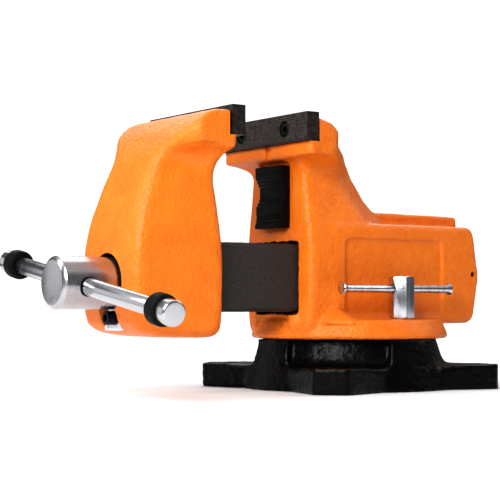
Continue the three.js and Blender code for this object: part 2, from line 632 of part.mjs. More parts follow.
function handleGroup() {
  const group = new THREE.Group();
  const capRight = piece('handle_cap_right', handleCap(), chrome);
  const capLeft = piece('handle_cap_left', mirrorX(handleCap()), chrome);
  const bumperRight = piece('handle_bumper_right', handleBumper(), rubber);
  const bumperLeft = piece('handle_bumper_left', mirrorX(handleBumper()), rubber);
  capRight.position.x = HANDLE_RIGHT_END - CAP_LENGTH;
  capLeft.position.x = HANDLE_LEFT_END + CAP_LENGTH;
  bumperRight.position.x = capRight.position.x - GAP - BUMPER_LENGTH;
  bumperLeft.position.x = capLeft.position.x + GAP + BUMPER_LENGTH;
  group.add(piece('handle_bar', handleBar(), chrome), capRight, capLeft, bumperRight, bumperLeft);
  group.position.set(0, HANDLE_Y, SPINDLE_Z);
  group.rotation.y = HANDLE_TILT * RAD;
  return group;
}

// ---- swivel lock, in its own frame: the bolt's axis is x = y = 0, the swivel axis lies towards -x ----
function lockBolt() {
  const inward = T_SLOT_INNER_R - LOCK_RADIUS + 1;
  const hook = block(inward, LOCK_BOLT_R - 0.3, -6.5, 6.5, T_SLOT_FLOOR + 1, T_SLOT_LIP - GAP);
  return unite(hook, rodZ(LOCK_BOLT_R, T_SLOT_LIP - 2, LOCK_BAR_Z - 5, 24));
}

function lockNut() {
  const hex = solid(
    new THREE.CylinderGeometry(LOCK_NUT_CORNER_R, LOCK_NUT_CORNER_R, LOCK_NUT_TOP - FLANGE_TOP, 6)
      .rotateX(Math.PI / 2)
      .translate(0, 0, (LOCK_NUT_TOP + FLANGE_TOP) / 2),
  ).rotate([0, 0, LOCK_NUT_TURN]);
  const bottom = FLANGE_TOP + GAP;
  const round = lathe([
    [0, bottom], [LOCK_NUT_CORNER_R - 1.6, bottom], [LOCK_NUT_CORNER_R, bottom + 1.6],
    [LOCK_NUT_CORNER_R, LOCK_NUT_TOP - 1], [LOCK_NUT_CORNER_R - 1.6, LOCK_NUT_TOP], [0, LOCK_NUT_TOP],
  ]);
  const bore = rodZ(LOCK_BOLT_R + GAP, FLANGE_TOP - PAST, LOCK_BAR_Z - 4.6, 24);
  const crossHole = alongY(rodZ(LOCK_BAR_R + GAP, -15, 15, 24)).translate([0, 0, LOCK_BAR_Z]);
  return cut(hex.intersect(round), bore, crossHole);
}

// The bar's ends are upset into small heads after it is pushed through the nut.
function lockBar() {
  const end = LOCK_BAR_HALF_LENGTH;
  const r = LOCK_BAR_R;
  const profile = [
    [0, -end], [r + 1.2, -end], [r + 1.7, -end + 0.8], [r + 1.2, -end + 2], [r, -end + 4.5],
    [r, end - 4.5], [r + 1.2, end - 2], [r + 1.7, end - 0.8], [r + 1.2, end], [0, end],
  ];
  return alongY(lathe(profile, 24)).translate([0, LOCK_BAR_CENTRE_Y, LOCK_BAR_Z]);
}

function lockGroup(side, name) {
  const group = new THREE.Group();
  const facing = Math.atan2(LOCK_Y, side * LOCK_X) / RAD;
  group.add(piece(`lock_bolt_${name}`, lockBolt().rotate([0, 0, facing]), zinc));
  group.add(piece(`lock_nut_${name}`, lockNut(), zinc));
  group.add(piece(`lock_bar_${name}`, lockBar(), zinc));
  group.position.set(side * LOCK_X, LOCK_Y, 0);
  return group;
}

// ---- tail cover and its pins ----
function tailCover() {
  const half = BAR_HALF_WIDTH + SLIDE_CLEARANCE - GAP;
  const low = BAR_BOTTOM - SLIDE_CLEARANCE + GAP;
  const high = BAR_TOP + SLIDE_CLEARANCE - GAP;
  const plate = prismY(rounded(rectangle(-half, half, low, high), 4, 2), 90.5, 97.5, 1);
  const pinHole = alongX(rodZ(TAIL_PIN_R + GAP, 20, 30, 16)).translate([0, TAIL_PIN_Y, TAIL_PIN_Z]);
  return cut(plate, pinHole, mirrorX(pinHole));
}

function tailPin() {
  return alongX(rodZ(TAIL_PIN_R, 20.5, BODY_HALF_WIDTH - 1.6, 16)).translate([0, TAIL_PIN_Y, TAIL_PIN_Z]);
}

// ---- assembly ----
function place(node, x, y, z) {
  node.position.set(x, y, z);
  return node;
}

function insertSet(name, gripY, turned) {
  const group = new THREE.Group();
  const recess = COUNTERBORE_DEPTH - 6;
  const screw = () => socketScrew(SCREW_HEAD_R, 6 - GAP, SCREW_SHANK_R, 16);
  const z = INSERT_HEIGHT / 2;
  const right = turned ? -1 : 1;
  group.add(piece(`${name}_jaw_insert`, jawInsert(), insertSteel));
  for (const [side, x] of [['right', right * INSERT_SCREW_X], ['left', -right * INSERT_SCREW_X]]) {
    group.add(place(piece(`${name}_insert_screw_${side}`, screw(), blackOxide), x, recess, z));
  }
  group.position.set(0, gripY, INSERT_BOTTOM);
  group.rotation.z = turned ? Math.PI : 0;
  return group;
}

const vise = new THREE.Group();
vise.add(
  piece('swivel_base', swivelBase(), blackIron),
  piece('body_casting', bodyCasting(), paint),
  piece('front_jaw', frontJaw(), paint),
  piece('slide_bar', slideBar(), castSteel),
  insertSet('static', STATIC_GRIP_Y, false),
  insertSet('front', FRONT_GRIP_Y, true),
  place(piece('static_pipe_jaw', pipeJaw(), blackOxide), 0, STATIC_PIPE_SEAT_Y - GAP, 0),
  piece('spindle', spindle(), chrome),
  piece('thrust_washer', thrustWasher(), bronze),
  piece('spindle_retainer', spindleRetainer(), zinc),
  place(
    piece('retainer_screw', socketScrew(5, RETAINER_SCREW_HEAD, SCREW_SHANK_R, 13), blackOxide),
    0, RETAINER_FRONT_Y - GAP - RETAINER_SCREW_HEAD, RETAINER_SCREW_Z,
  ),
  piece('spindle_nut', spindleNut(), bronze),
  piece('nut_bolt', nutBolt(), blackOxide),
  handleGroup(),
  lockGroup(1, 'right'),
  lockGroup(-1, 'left'),
  piece('tail_cover', tailCover(), blackOxide),
  piece('tail_pin_right', tailPin(), blackOxide),
  piece('tail_pin_left', mirrorX(tailPin()), blackOxide),
);

const frontPipeJaw = place(piece('front_pipe_jaw', pipeJaw(), blackOxide), 0, FRONT_PIPE_SEAT_Y + GAP, 0);
frontPipeJaw.rotation.z = Math.PI;
vise.add(frontPipeJaw);

export default vise;
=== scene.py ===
import json
import math

import bmesh
import bpy
import numpy as np
from mathutils import Matrix, Vector, noise


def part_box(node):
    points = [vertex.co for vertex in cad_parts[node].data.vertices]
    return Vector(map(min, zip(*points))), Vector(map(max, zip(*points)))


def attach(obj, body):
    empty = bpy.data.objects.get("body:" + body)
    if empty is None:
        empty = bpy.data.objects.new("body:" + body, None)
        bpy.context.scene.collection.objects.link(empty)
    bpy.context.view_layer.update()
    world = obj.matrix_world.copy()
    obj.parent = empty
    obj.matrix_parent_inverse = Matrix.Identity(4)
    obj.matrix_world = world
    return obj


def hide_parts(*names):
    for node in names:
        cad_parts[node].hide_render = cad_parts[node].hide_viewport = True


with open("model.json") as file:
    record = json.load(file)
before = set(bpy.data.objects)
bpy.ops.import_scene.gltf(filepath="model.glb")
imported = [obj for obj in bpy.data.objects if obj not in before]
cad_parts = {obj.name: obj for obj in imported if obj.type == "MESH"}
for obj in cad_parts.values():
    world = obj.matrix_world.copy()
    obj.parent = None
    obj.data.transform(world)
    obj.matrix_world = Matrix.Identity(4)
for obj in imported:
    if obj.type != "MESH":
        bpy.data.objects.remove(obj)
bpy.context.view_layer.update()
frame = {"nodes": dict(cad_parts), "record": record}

MM = 0.001

# ---- sizes that the frame doesn't state, in millimetres unless named otherwise ----
CLEARANCE = 0.3                # between pieces that touch
CHANNEL_CLEARANCE = 0.5        # round the slide bar in the body
SOCKET_CLEARANCE = 0.3         # round the slide bar in the front jaw
HUB_CLEARANCE = 2.75           # round the hub in the front jaw
MOUTH_CLEARANCE = 2.4          # round the slide bar where it enters the column
MOUTH_DEPTH = 8.0
CHANNEL_PLUG_END = 101.2       # Y at which the channel is refilled before the remesh
CHANNEL_SHADE_END = 100.0          # Y at which the channel's near-black bare iron and painted shade stop; the casting is painted orange again beyond it
COLUMN_FACE = -71.0            # Y of the column's front
BODY_HALF_WIDTH = 43.0
STATIC_LEDGE = -81.4           # Y of the ledge under the static insert
FRONT_LEDGE = -146.1           # Y of the ledge under the front insert
FRONT_JAW_REAR = -144.5        # Y of the front jaw's rear face
HUB_MOUTH = -220.8             # Y of the rim of the hub's bore
FRONT_SEAT_RELIEF = 2.2        # gap behind the front insert
SEAT_HALF_WIDTH = 57.2
SEAT_TOP = 203.4               # Z to which a seat is refilled before the remesh
NOTCH_X = (-1.5, 5.5)          # foundry notch in the static ledge
PIN_HOLE_RADIUS = 2.3
PIN_PLUG_HALF = 3.5            # half side of the block that refills a pin hole
LUG_TOP = 18.4
BOLT_HOLE_RADIUS = 6.0
COUNTERBORE_RADIUS = 6.1
COUNTERBORE_DEPTH = 7.0
SHANK_RADIUS = 3.0
INSERT_RIM = 0.6
TOOTH_PITCH = 1.5
TOOTH_DEPTH = 0.42
SCREW_RADIUS = 11.0
SCREW_START = -149.0           # Y at which the thread begins
GROOVE_RADIUS = 12.6           # root of the retainer's groove
CROSS_HOLE_RADIUS = 6.85
THREAD_PITCH = 5.0
THREAD_DEPTH = 2.4
HANDLE_RADIUS = 6.35
HANDLE_BORE_RADIUS = 6.65      # in the caps and the rubber rings
CAP_RADIUS = 8.7
CAP_SOCKET = 7.0
BUMPER_RADIUS = 10.8
PIPE_STEM_RADIUS = 6.0
STATIC_PIPE_SEAT = -70.8       # Y of the back of the static pipe jaw
FRONT_PIPE_SEAT = -148.7       # Y of the back of the front pipe jaw
NUT_CORNER = 10.0              # across the corners of the lock nut, halved
NUT_TURN = 14.6                # degrees
STUD_RADIUS = 5.3              # hole for the lock bolt in the lock nut
LOCK_HOLE_RADIUS = 3.45        # cross hole in the lock nut
LOCK_HOLE_MOUTH = 4.2
LOCK_ROD_RADIUS = 3.1

# ---- the castings' grain ----
CAST_VOXEL = 1.3               # base, in millimetres
BODY_VOXEL = 1.15              # body and front jaw
BAR_VOXEL = 1.2
RAGGED_VOXEL = 1.6             # tool that cuts the mouth round the slide bar
# Layers of unevenness: (size of the lumps, height), in metres.
CASTING_SKIN = [(0.012, 0.00022), (0.0038, 0.00014), (0.0016, 0.00006)]
BASE_SKIN = [(0.009, 0.0003), (0.0032, 0.00026), (0.0016, 0.00012)]
BAR_SKIN = [(0.006, 0.00016), (0.0025, 0.00012)]
RAGGED_SKIN = [(0.004, 0.0009)]
# Rough lumps of iron left at the foot of the column: place and half sizes.
APRON_LUMPS = [
    ((24, -71.5, 50.5), (5.5, 4.5, 8.5)),
    ((21, -72, 57), (3.5, 3, 4)),
    ((-26, -71.5, 50), (4.5, 3.5, 6)),
]
# Fillet between the back of each pocket and its lug: a ring of (radius, height) pairs, in metres.
COVE = [
    (0.0675, 0.012), (0.0765, 0.012), (0.0765, 0.019), (0.0736, 0.022), (0.0716, 0.028), (0.0704, 0.034),
    (0.0675, 0.034),
]

# ---- mesh helpers ----


def new_object(name, mesh):
    made = bpy.data.objects.new(name, mesh)
    bpy.context.scene.collection.objects.link(made)
    return made


def from_bmesh(name, bm):
    bmesh.ops.recalc_face_normals(bm, faces=bm.faces)
    mesh = bpy.data.meshes.new(name)
    bm.to_mesh(mesh)
    bm.free()
    return new_object(name, mesh)


def apply_modifiers(obj):
    depsgraph = bpy.context.evaluated_depsgraph_get()
    mesh = bpy.data.meshes.new_from_object(obj.evaluated_get(depsgraph))
    obj.modifiers.clear()
    old = obj.data
    obj.data = mesh
    if old.users == 0:
        bpy.data.meshes.remove(old)


def discard(obj):
    mesh = obj.data
    bpy.data.objects.remove(obj)
    bpy.data.meshes.remove(mesh)


def boolean(obj, tool, operation="DIFFERENCE"):
    change = obj.modifiers.new("cut", "BOOLEAN")
    change.operation = operation
    change.solver = "EXACT"
    change.object = tool
    apply_modifiers(obj)
    discard(tool)


def add_box(bm, low, high):
    size = Vector(high) - Vector(low)
    centre = (Vector(high) + Vector(low)) / 2
    turn = Matrix.Translation(centre) @ Matrix.Diagonal((size.x, size.y, size.z, 1))
    bmesh.ops.create_cube(bm, size=1, matrix=turn)


def add_lathe(bm, profile, segments, place=Matrix.Identity(4), closed=False):
    """Turns (radius, height) pairs about Z. A radius of 0 at either end closes the solid on the axis.

    closed joins the last pair to the first, for a ring.
    """
    rings = []
    for radius, height in profile:
        if radius == 0:
            rings.append([bm.verts.new(place @ Vector((0, 0, height)))])
            continue
        ring = []
        for k in range(segments):
            a = 2 * math.pi * k / segments
            ring.append(bm.verts.new(place @ Vector((radius * math.cos(a), radius * math.sin(a), height))))
        rings.append(ring)
    if closed:
        rings.append(rings[0])
    for lower, upper in zip(rings, rings[1:]):
        for k in range(segments):
            after = (k + 1) % segments
            if len(lower) == 1:
                bm.faces.new((lower[0], upper[k], upper[after]))
            elif len(upper) == 1:
                bm.faces.new((lower[k], lower[after], upper[0]))
            else:
                bm.faces.new((lower[k], lower[after], upper[after], upper[k]))


def lathe_object(name, profile, segments, place=Matrix.Identity(4), closed=False):
    bm = bmesh.new()
    add_lathe(bm, profile, segments, place, closed)
    return from_bmesh(name, bm)


def cut_box(obj, low, high):
    bm = bmesh.new()
    add_box(bm, low, high)
    boolean(obj, from_bmesh("tool", bm))


def cut_lathe(obj, profile, segments, place):
    boolean(obj, lathe_object("tool", profile, segments, place))


def bevel_edges(obj, width, degrees):
    """Breaks every edge that is sharper than the angle."""
    bevel = obj.modifiers.new("edges", "BEVEL")
    bevel.width = width
    bevel.segments = 2
    bevel.limit_method = "ANGLE"
    bevel.angle_limit = math.radians(degrees)
    apply_modifiers(obj)


def edge_arc(radius, height, turn, up, steps=4):
    """Points that round a lathe's outer edge.

    With up, the arc ends on the flat above it; without, it starts on the flat below it.
    """
    points = []
    for k in range(steps + 1):
        a = math.pi / 2 * k / steps
        if up:
            points.append((radius - turn + turn * math.cos(a), height - turn + turn * math.sin(a)))
        else:
            points.append((radius - turn + turn * math.sin(a), height + turn - turn * math.cos(a)))
    return points


def along_y(x, y, z, way=1):
    """Local Z becomes +Y, or -Y when way is -1."""
    return Matrix.Translation((x, y, z)) @ Matrix.Rotation(-way * math.pi / 2, 4, "X")


def along_x(x, y, z):
    """Local Z becomes +X."""
    return Matrix.Translation((x, y, z)) @ Matrix.Rotation(math.pi / 2, 4, "Y")


def shade(obj, degrees=35):
    obj.data.shade_smooth()
    obj.data.set_sharp_from_angle(angle=math.radians(degrees))


def cad_copy(node, name):
    mesh = frame["nodes"][node].data.copy()
    mesh.materials.clear()
    obj = new_object(name, mesh)
    bm = bmesh.new()
    bm.from_mesh(mesh)
    bmesh.ops.remove_doubles(bm, verts=bm.verts, dist=1e-6)
    bm.to_mesh(mesh)
    bm.free()
    return obj


def body_of_node(node):
    for body, nodes in frame["record"]["behaviour"]["bodies"].items():
        if node in nodes:
            return body
    return None


def stand_in(obj, node, finish):
    """obj takes the CAD node's place and body, with one finish all over."""
    obj.data.materials.clear()
    obj.data.materials.append(finish)
    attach(obj, body_of_node(node))
    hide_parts(node)
    return obj


def bevel_copy(node, name, width):
    """A CAD node with its sharp edges broken."""
    obj = cad_copy(node, name)
    bm = bmesh.new()
    bm.from_mesh(obj.data)
    bmesh.ops.dissolve_limit(bm, angle_limit=math.radians(1), verts=bm.verts, edges=bm.edges)
    bm.to_mesh(obj.data)
    bm.free()
    bevel_edges(obj, width, 50)
    shade(obj)
    return obj


# ---- castings ----


def fill(obj, add_shapes):
    """Adds closed shapes to the mesh, which the voxel remesh then joins to it."""
    bm = bmesh.new()
    bm.from_mesh(obj.data)
    add_shapes(bm)
    bm.to_mesh(obj.data)
    bm.free()


def soften(obj, voxel, passes, crispness=None):
    """Voxel remesh and smoothing: edges and corners get a foundry pattern's round fillets.

    crispness(point) gives 0 where the fillets are at their fullest and up to 1 where an edge stays crisp.
    """
    remesh = obj.modifiers.new("voxels", "REMESH")
    remesh.mode = "VOXEL"
    remesh.voxel_size = voxel
    apply_modifiers(obj)
    smooth = obj.modifiers.new("fillets", "SMOOTH")
    smooth.factor = 0.5
    smooth.iterations = passes
    if crispness is not None:
        group = obj.vertex_groups.new(name="softness")
        for vertex in obj.data.vertices:
            group.add([vertex.index], 1 - crispness(vertex.co), "REPLACE")
        smooth.vertex_group = group.name
    apply_modifiers(obj)


def near(distance, reach):
    """1 at a distance of 0 or less, falling to 0 at the reach."""
    return min(1, max(0, 1 - distance / reach))


def finish_faces(obj, finish, chosen):
    """Gives another finish to the faces whose centre and normal are chosen."""
    obj.data.materials.append(finish)
    index = len(obj.data.materials) - 1
    for face in obj.data.polygons:
        if chosen(face.center, face.normal):
            face.material_index = index


def sand_cast(obj, layers, seed):
    """Moves each vertex a little along its normal. Each layer is (size of the lumps, height), in metres."""
    mesh = obj.data
    count = len(mesh.vertices)
    places = np.empty(count * 3)
    normals = np.empty(count * 3)
    mesh.vertices.foreach_get("co", places)
    mesh.vertices.foreach_get("normal", normals)
    places = places.reshape(-1, 3)
    normals = normals.reshape(-1, 3)
    shift = np.zeros(count)
    for size, height in layers:
        for k in range(count):
            x, y, z = places[k]
            shift[k] += height * noise.noise(Vector((x / size + seed, y / size, z / size)))
    places += normals * shift[:, None]
    mesh.vertices.foreach_set("co", places.ravel())
    mesh.update()


def flatten(obj, low, high):
    """Machined flat below and above: no vertex lies outside the two heights."""
    for vertex in obj.data.vertices:
        vertex.co.z = min(max(vertex.co.z, low), high)


# ---- materials ----


def material(name, color, roughness, metallic=0.0, specular=0.5):
    made = bpy.data.materials.new(name)
    made.use_nodes = True
    shader = made.node_tree.nodes["Principled BSDF"]
    shader.inputs["Base Color"].default_value = (*color, 1)
    shader.inputs["Roughness"].default_value = roughness
    shader.inputs["Metallic"].default_value = metallic
    shader.inputs["Specular IOR Level"].default_value = specular
    return made


def tree_of(mat):
    tree = mat.node_tree
    return tree.nodes, tree.links, tree.nodes["Principled BSDF"]


def object_noise(mat, scale, detail=3.0, stretch=(1, 1, 1)):
    nodes, links, _ = tree_of(mat)
    where = nodes.new("ShaderNodeTexCoord")
    mapping = nodes.new("ShaderNodeMapping")
    mapping.inputs["Scale"].default_value = stretch
    pattern = nodes.new("ShaderNodeTexNoise")
    pattern.inputs["Scale"].default_value = scale
    pattern.inputs["Detail"].default_value = detail
    links.new(where.outputs["Object"], mapping.inputs["Vector"])
    links.new(mapping.outputs["Vector"], pattern.inputs["Vector"])
    return pattern.outputs["Fac"]


def ramp(mat, value, stops):
    """stops: (place, colour or grey) pairs."""
    nodes, links, _ = tree_of(mat)
    made = nodes.new("ShaderNodeValToRGB")
    elements = made.color_ramp.elements
    while len(elements) < len(stops):
        elements.new(0.5)
    for element, (place, color) in zip(elements, stops):
        element.position = place
        element.color = (*color, 1) if isinstance(color, tuple) else (color, color, color, 1)
    links.new(value, made.inputs["Fac"])
    return made.outputs["Color"]


def bump(mat, heights):
    """heights: (value socket, strength, distance in metres), one bump on another."""
    nodes, links, shader = tree_of(mat)
    last = None
    for value, strength, distance in heights:
        made = nodes.new("ShaderNodeBump")
        made.inputs["Strength"].default_value = strength
        made.inputs["Distance"].default_value = distance
        links.new(value, made.inputs["Height"])
        if last is not None:
            links.new(last, made.inputs["Normal"])
        last = made.outputs["Normal"]
    links.new(last, shader.inputs["Normal"])


def vary(mat, socket, value, stops):
    _, links, shader = tree_of(mat)
    links.new(ramp(mat, value, stops), shader.inputs[socket])


def orange_paint():
    mat = material("orange_powder_coat", (0.84, 0.19, 0.01), 0.42, 0, 0.35)
    tones = [(0.3, (0.81, 0.172, 0.008)), (0.7, (0.87, 0.208, 0.011))]
    vary(mat, "Base Color", object_noise(mat, 60, 5), tones)
    vary(mat, "Roughness", object_noise(mat, 260, 3), [(0.3, 0.34), (0.7, 0.5)])
    bump(mat, [(object_noise(mat, 150, 3), 0.6, 0.001), (object_noise(mat, 430, 3), 1.0, 0.0009)])
    return mat


def black_iron():
    mat = material("black_paint_on_iron", (0.0022, 0.0022, 0.0024), 0.3, 0, 0.12)
    vary(mat, "Roughness", object_noise(mat, 120, 4), [(0.35, 0.24), (0.7, 0.36)])
    bump(mat, [(object_noise(mat, 420, 3), 0.6, 0.0006), (object_noise(mat, 1300, 2), 0.4, 0.0003)])
    return mat


def cast_bar():
    mat = material("bare_cast_bar", (0.035, 0.031, 0.028), 0.55, 0.2, 0.4)
    tones = [(0.3, (0.022, 0.0195, 0.018)), (0.7, (0.05, 0.045, 0.0415))]
    vary(mat, "Base Color", object_noise(mat, 650, 4), tones)
    vary(mat, "Roughness", object_noise(mat, 500, 4), [(0.3, 0.42), (0.7, 0.62)])
    bump(mat, [(object_noise(mat, 900, 4), 0.8, 0.0005)])
    return mat


# Machined bare iron, made near black so that it is also painted shade inside the bores, slots, channel and
# seats where the castings' gaps fall dark.
def bare_iron_with_painted_shade():
    mat = material("oiled_bare_iron_with_painted_shade", (0.012, 0.011, 0.01), 0.5, 0.3, 0.2)
    vary(mat, "Roughness", object_noise(mat, 300, 3), [(0.3, 0.4), (0.7, 0.62)])
    bump(mat, [(object_noise(mat, 900, 3), 0.3, 0.0002)])
    return mat


def insert_steel():
    mat = material("insert_steel", (0.07, 0.06, 0.055), 0.45, 0.85)
    tones = [(0.3, (0.03, 0.025, 0.0225)), (0.7, (0.085, 0.072, 0.066))]
    vary(mat, "Base Color", object_noise(mat, 260, 5), tones)
    vary(mat, "Roughness", object_noise(mat, 700, 3), [(0.3, 0.36), (0.7, 0.55)])
    bump(mat, [(object_noise(mat, 1800, 3), 0.3, 0.0002)])
    return mat


def black_oxide():
    mat = material("black_oxide", (0.0035, 0.0035, 0.0035), 0.42, 0.1, 0.2)
    vary(mat, "Roughness", object_noise(mat, 600, 3), [(0.3, 0.34), (0.7, 0.5)])
    bump(mat, [(object_noise(mat, 1400, 3), 0.2, 0.0002)])
    return mat


def pipe_jaw_black():
    mat = material("pipe_jaw_black", (0.002, 0.002, 0.002), 0.5, 0, 0.12)
    vary(mat, "Roughness", object_noise(mat, 500, 3), [(0.3, 0.42), (0.7, 0.6)])
    bump(mat, [(object_noise(mat, 1000, 4), 0.4, 0.0003)])
    return mat


def turned_metal(name, color, roughness, scale):
    """Bright metal turned along Y or ground along X: faint fine lines and slight patches."""
    mat = material(name, color, roughness, 1.0)
    low, high = roughness * 0.8, roughness * 1.25
    vary(mat, "Roughness", object_noise(mat, 60, 3), [(0.3, low), (0.7, high)])
    bump(mat, [(object_noise(mat, scale, 2, (0.15, 1, 0.15)), 0.02, 0.0001)])
    return mat


def zinc_plate():
    mat = material("zinc_plate", (0.62, 0.64, 0.68), 0.25, 1.0)
    tones = [(0.35, (0.46, 0.475, 0.51)), (0.65, (0.68, 0.7, 0.75))]
    vary(mat, "Base Color", object_noise(mat, 300, 3, (1, 1, 0.1)), tones)
    vary(mat, "Roughness", object_noise(mat, 500, 3, (1, 1, 0.06)), [(0.3, 0.14), (0.7, 0.26)])
    bump(mat, [(object_noise(mat, 700, 2, (1, 1, 0.04)), 0.03, 0.0001)])
    return mat


def rubber():
    mat = material("black_rubber", (0.0018, 0.0018, 0.0018), 0.62, 0, 0.16)
    vary(mat, "Roughness", object_noise(mat, 400, 3), [(0.3, 0.5), (0.7, 0.75)])
    bump(mat, [(object_noise(mat, 1600, 2), 0.15, 0.0002)])
    return mat


def bronze():
    mat = material("machined_bronze", (0.5, 0.33, 0.17), 0.4, 0.9)
    vary(mat, "Roughness", object_noise(mat, 300, 3), [(0.3, 0.32), (0.7, 0.5)])
    bump(mat, [(object_noise(mat, 900, 3, (1, 0.2, 1)), 0.15, 0.0002)])
    return mat


ORANGE = orange_paint()
IRON = black_iron()
BAR = cast_bar()
BARE_AND_SHADE = bare_iron_with_painted_shade()
INSERT = insert_steel()
OXIDE = black_oxide()
PIPE = pipe_jaw_black()
POLISHED = turned_metal("polished_hub", (0.46, 0.455, 0.47), 0.27, 2600)
CHROME = turned_metal("chrome_plate", (0.52, 0.525, 0.545), 0.2, 1500)
ZINC = zinc_plate()
RUBBER = rubber()
BRONZE = bronze()

# ---- places read from the frame ----
bar_low, bar_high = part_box("slide_bar")
spindle_low, spindle_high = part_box("spindle")
static_low, static_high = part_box("static_jaw_insert")
front_low, front_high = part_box("front_jaw_insert")
HUB_RADIUS = (spindle_high.x - spindle_low.x) / 2
SPINDLE_Z = (spindle_high.z + spindle_low.z) / 2
INSERT_MIDDLE = (static_low.z + static_high.z) / 2


def bench_bolt_places():
    for row in frame["record"]["physics"]["openings"]:
        if row["name"].startswith("bench_bolt_hole"):
            low, high = row["box_m"]
            yield (low[0] + high[0]) / 2, (low[1] + high[1]) / 2


# ---- swivel base ----


def make_base():
    obj = cad_copy("swivel_base", "base_casting")
    _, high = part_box("swivel_base")
    lug_top = LUG_TOP * MM

    def plugs(bm):
        radius = (BOLT_HOLE_RADIUS + 1) * MM
        plug = [(0, 0), (radius, 0), (radius, lug_top), (0, lug_top)]
        for x, y in bench_bolt_places():
            add_lathe(bm, plug, 32, Matrix.Translation((x, y, 0)))
        add_lathe(bm, COVE, 64, closed=True)

    def crispness(point):
        """Crisp at the foot, at the top and out on the lugs, and soft round the cone."""
        foot = near(point.z - 2 * MM, 4 * MM)
        top = near(high.z - 1.5 * MM - point.z, 3 * MM)
        lug = near(98 * MM - math.hypot(point.x, point.y), 10 * MM)
        return max(foot, top, 0.9 * lug)

    fill(obj, plugs)
    soften(obj, CAST_VOXEL * MM, 60, crispness)
    sand_cast(obj, BASE_SKIN, 3.1)
    flatten(obj, 0, high.z)
    bm = bmesh.new()
    radius = BOLT_HOLE_RADIUS * MM
    cutter = [(0, -0.01), (radius, -0.01), (radius, lug_top - 0.0006)]
    cutter += [(radius + 0.0024, lug_top + 0.0018), (0, lug_top + 0.0018)]
    for x, y in bench_bolt_places():
        add_lathe(bm, cutter, 48, Matrix.Translation((x, y, 0)))
    boolean(obj, from_bmesh("tool", bm))
    shade(obj, 40)
    return stand_in(obj, "swivel_base", IRON)


# ---- body casting ----


def channel_box(bm, grow, y0, y1):
    """The slide bar's box, grown on all four sides, between two places along Y."""
    low = (bar_low.x - grow, y0, bar_low.z - grow)
    high = (bar_high.x + grow, y1, bar_high.z + grow)
    add_box(bm, low, high)


def make_body():
    obj = cad_copy("body_casting", "body_cast_and_painted")
    column_face = COLUMN_FACE * MM
    seat_y = static_high.y + CLEARANCE * MM
    seat_z = static_low.z - CLEARANCE * MM
    pin_low, pin_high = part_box("tail_pin_right")
    pin_y = (pin_low.y + pin_high.y) / 2
    pin_z = (pin_low.z + pin_high.z) / 2
    side = BODY_HALF_WIDTH * MM
    ledge = STATIC_LEDGE * MM
    mouth_rear = column_face + MOUTH_DEPTH * MM

    def plugs(bm):
        channel_box(bm, (MOUTH_CLEARANCE + 1) * MM, column_face, mouth_rear + 0.001)
        channel_box(bm, (CHANNEL_CLEARANCE + 1) * MM, mouth_rear - 0.001, CHANNEL_PLUG_END * MM)
        half, reach = SEAT_HALF_WIDTH * MM, PIN_PLUG_HALF * MM
        add_box(bm, (-half, ledge, seat_z - 0.0005), (half, seat_y + 0.002, SEAT_TOP * MM))
        for sign in (-1, 1):
            low = (min(sign * 0.03, sign * side), pin_y - reach, pin_z - reach)
            high = (max(sign * 0.03, sign * side), pin_y + reach, pin_z + reach)
            add_box(bm, low, high)
        for place, size in APRON_LUMPS:
            turn = Matrix.Translation(Vector(place) * MM) @ Matrix.Diagonal((*(Vector(size) * MM), 1))
            bmesh.ops.create_icosphere(bm, subdivisions=3, radius=1, matrix=turn)

    def crispness(point):
        """Crisper along the ledge under the insert and along the tail's long edges."""
        ledge_zone = near(abs(point.z - 181 * MM) - 5 * MM, 4 * MM) * near(point.y - ledge - 6 * MM, 4 * MM)
        at_side = near(abs(abs(point.x) - side) - 3 * MM, 3 * MM)
        tail_zone = at_side * near(-40 * MM - point.y, 6 * MM) * near(point.z - 132 * MM, 5 * MM)
        return max(0.8 * ledge_zone, 0.55 * tail_zone)

    fill(obj, plugs)
    soften(obj, BODY_VOXEL * MM, 11, crispness)
    sand_cast(obj, CASTING_SKIN, 7.7)
    bm = bmesh.new()
    channel_box(bm, CHANNEL_CLEARANCE * MM, -0.1, 0.12)
    boolean(obj, from_bmesh("tool", bm))
    bm = bmesh.new()
    channel_box(bm, MOUTH_CLEARANCE * MM, -0.1, mouth_rear)
    boolean(obj, ragged(from_bmesh("tool", bm)))
    bm = bmesh.new()
    add_box(bm, (-0.07, static_low.y - 0.05, seat_z), (0.07, seat_y, 0.22))
    radius = PIN_HOLE_RADIUS * MM
    drill = [(0, 0), (radius, 0), (radius, 0.02), (0, 0.02)]
    for sign in (-1, 1):
        add_lathe(bm, drill, 32, along_x(sign * 0.041 - 0.01, pin_y, pin_z))
    boolean(obj, from_bmesh("tool", bm))
    notch_left, notch_right = NOTCH_X
    notch_low = (notch_left * MM, ledge - 0.01, seat_z - 0.0095)
    notch_high = (notch_right * MM, ledge + 0.0022, seat_z + 0.001)
    cut_box(obj, notch_low, notch_high)
    shade(obj, 40)
    stand_in(obj, "body_casting", ORANGE)
    reach = 3 * MM

    def machined_and_painted_shade(centre, normal):
        """The channel's walls and the insert's seat: bare iron, made near black as painted shade in the gap
        round the bar, in the mouth and behind the insert.
        """
        beside_bar = abs(centre.x) < bar_high.x + reach and bar_low.z - reach < centre.z < bar_high.z + reach
        inside = column_face + 0.0006 < centre.y < CHANNEL_SHADE_END * MM
        in_channel = beside_bar and inside and max(abs(n) for n in normal) > 0.9
        flat = abs(normal.z) > 0.99 or abs(normal.y) > 0.99
        seat_height = seat_z - 0.0001 < centre.z < static_high.z - 0.0035
        in_seat = flat and seat_height and ledge < centre.y < seat_y + 0.0002
        return in_channel or in_seat

    # Painted shade: the channel, the mouth round the bar and the seat get near-black bare iron.
    finish_faces(obj, BARE_AND_SHADE, machined_and_painted_shade)
    return obj


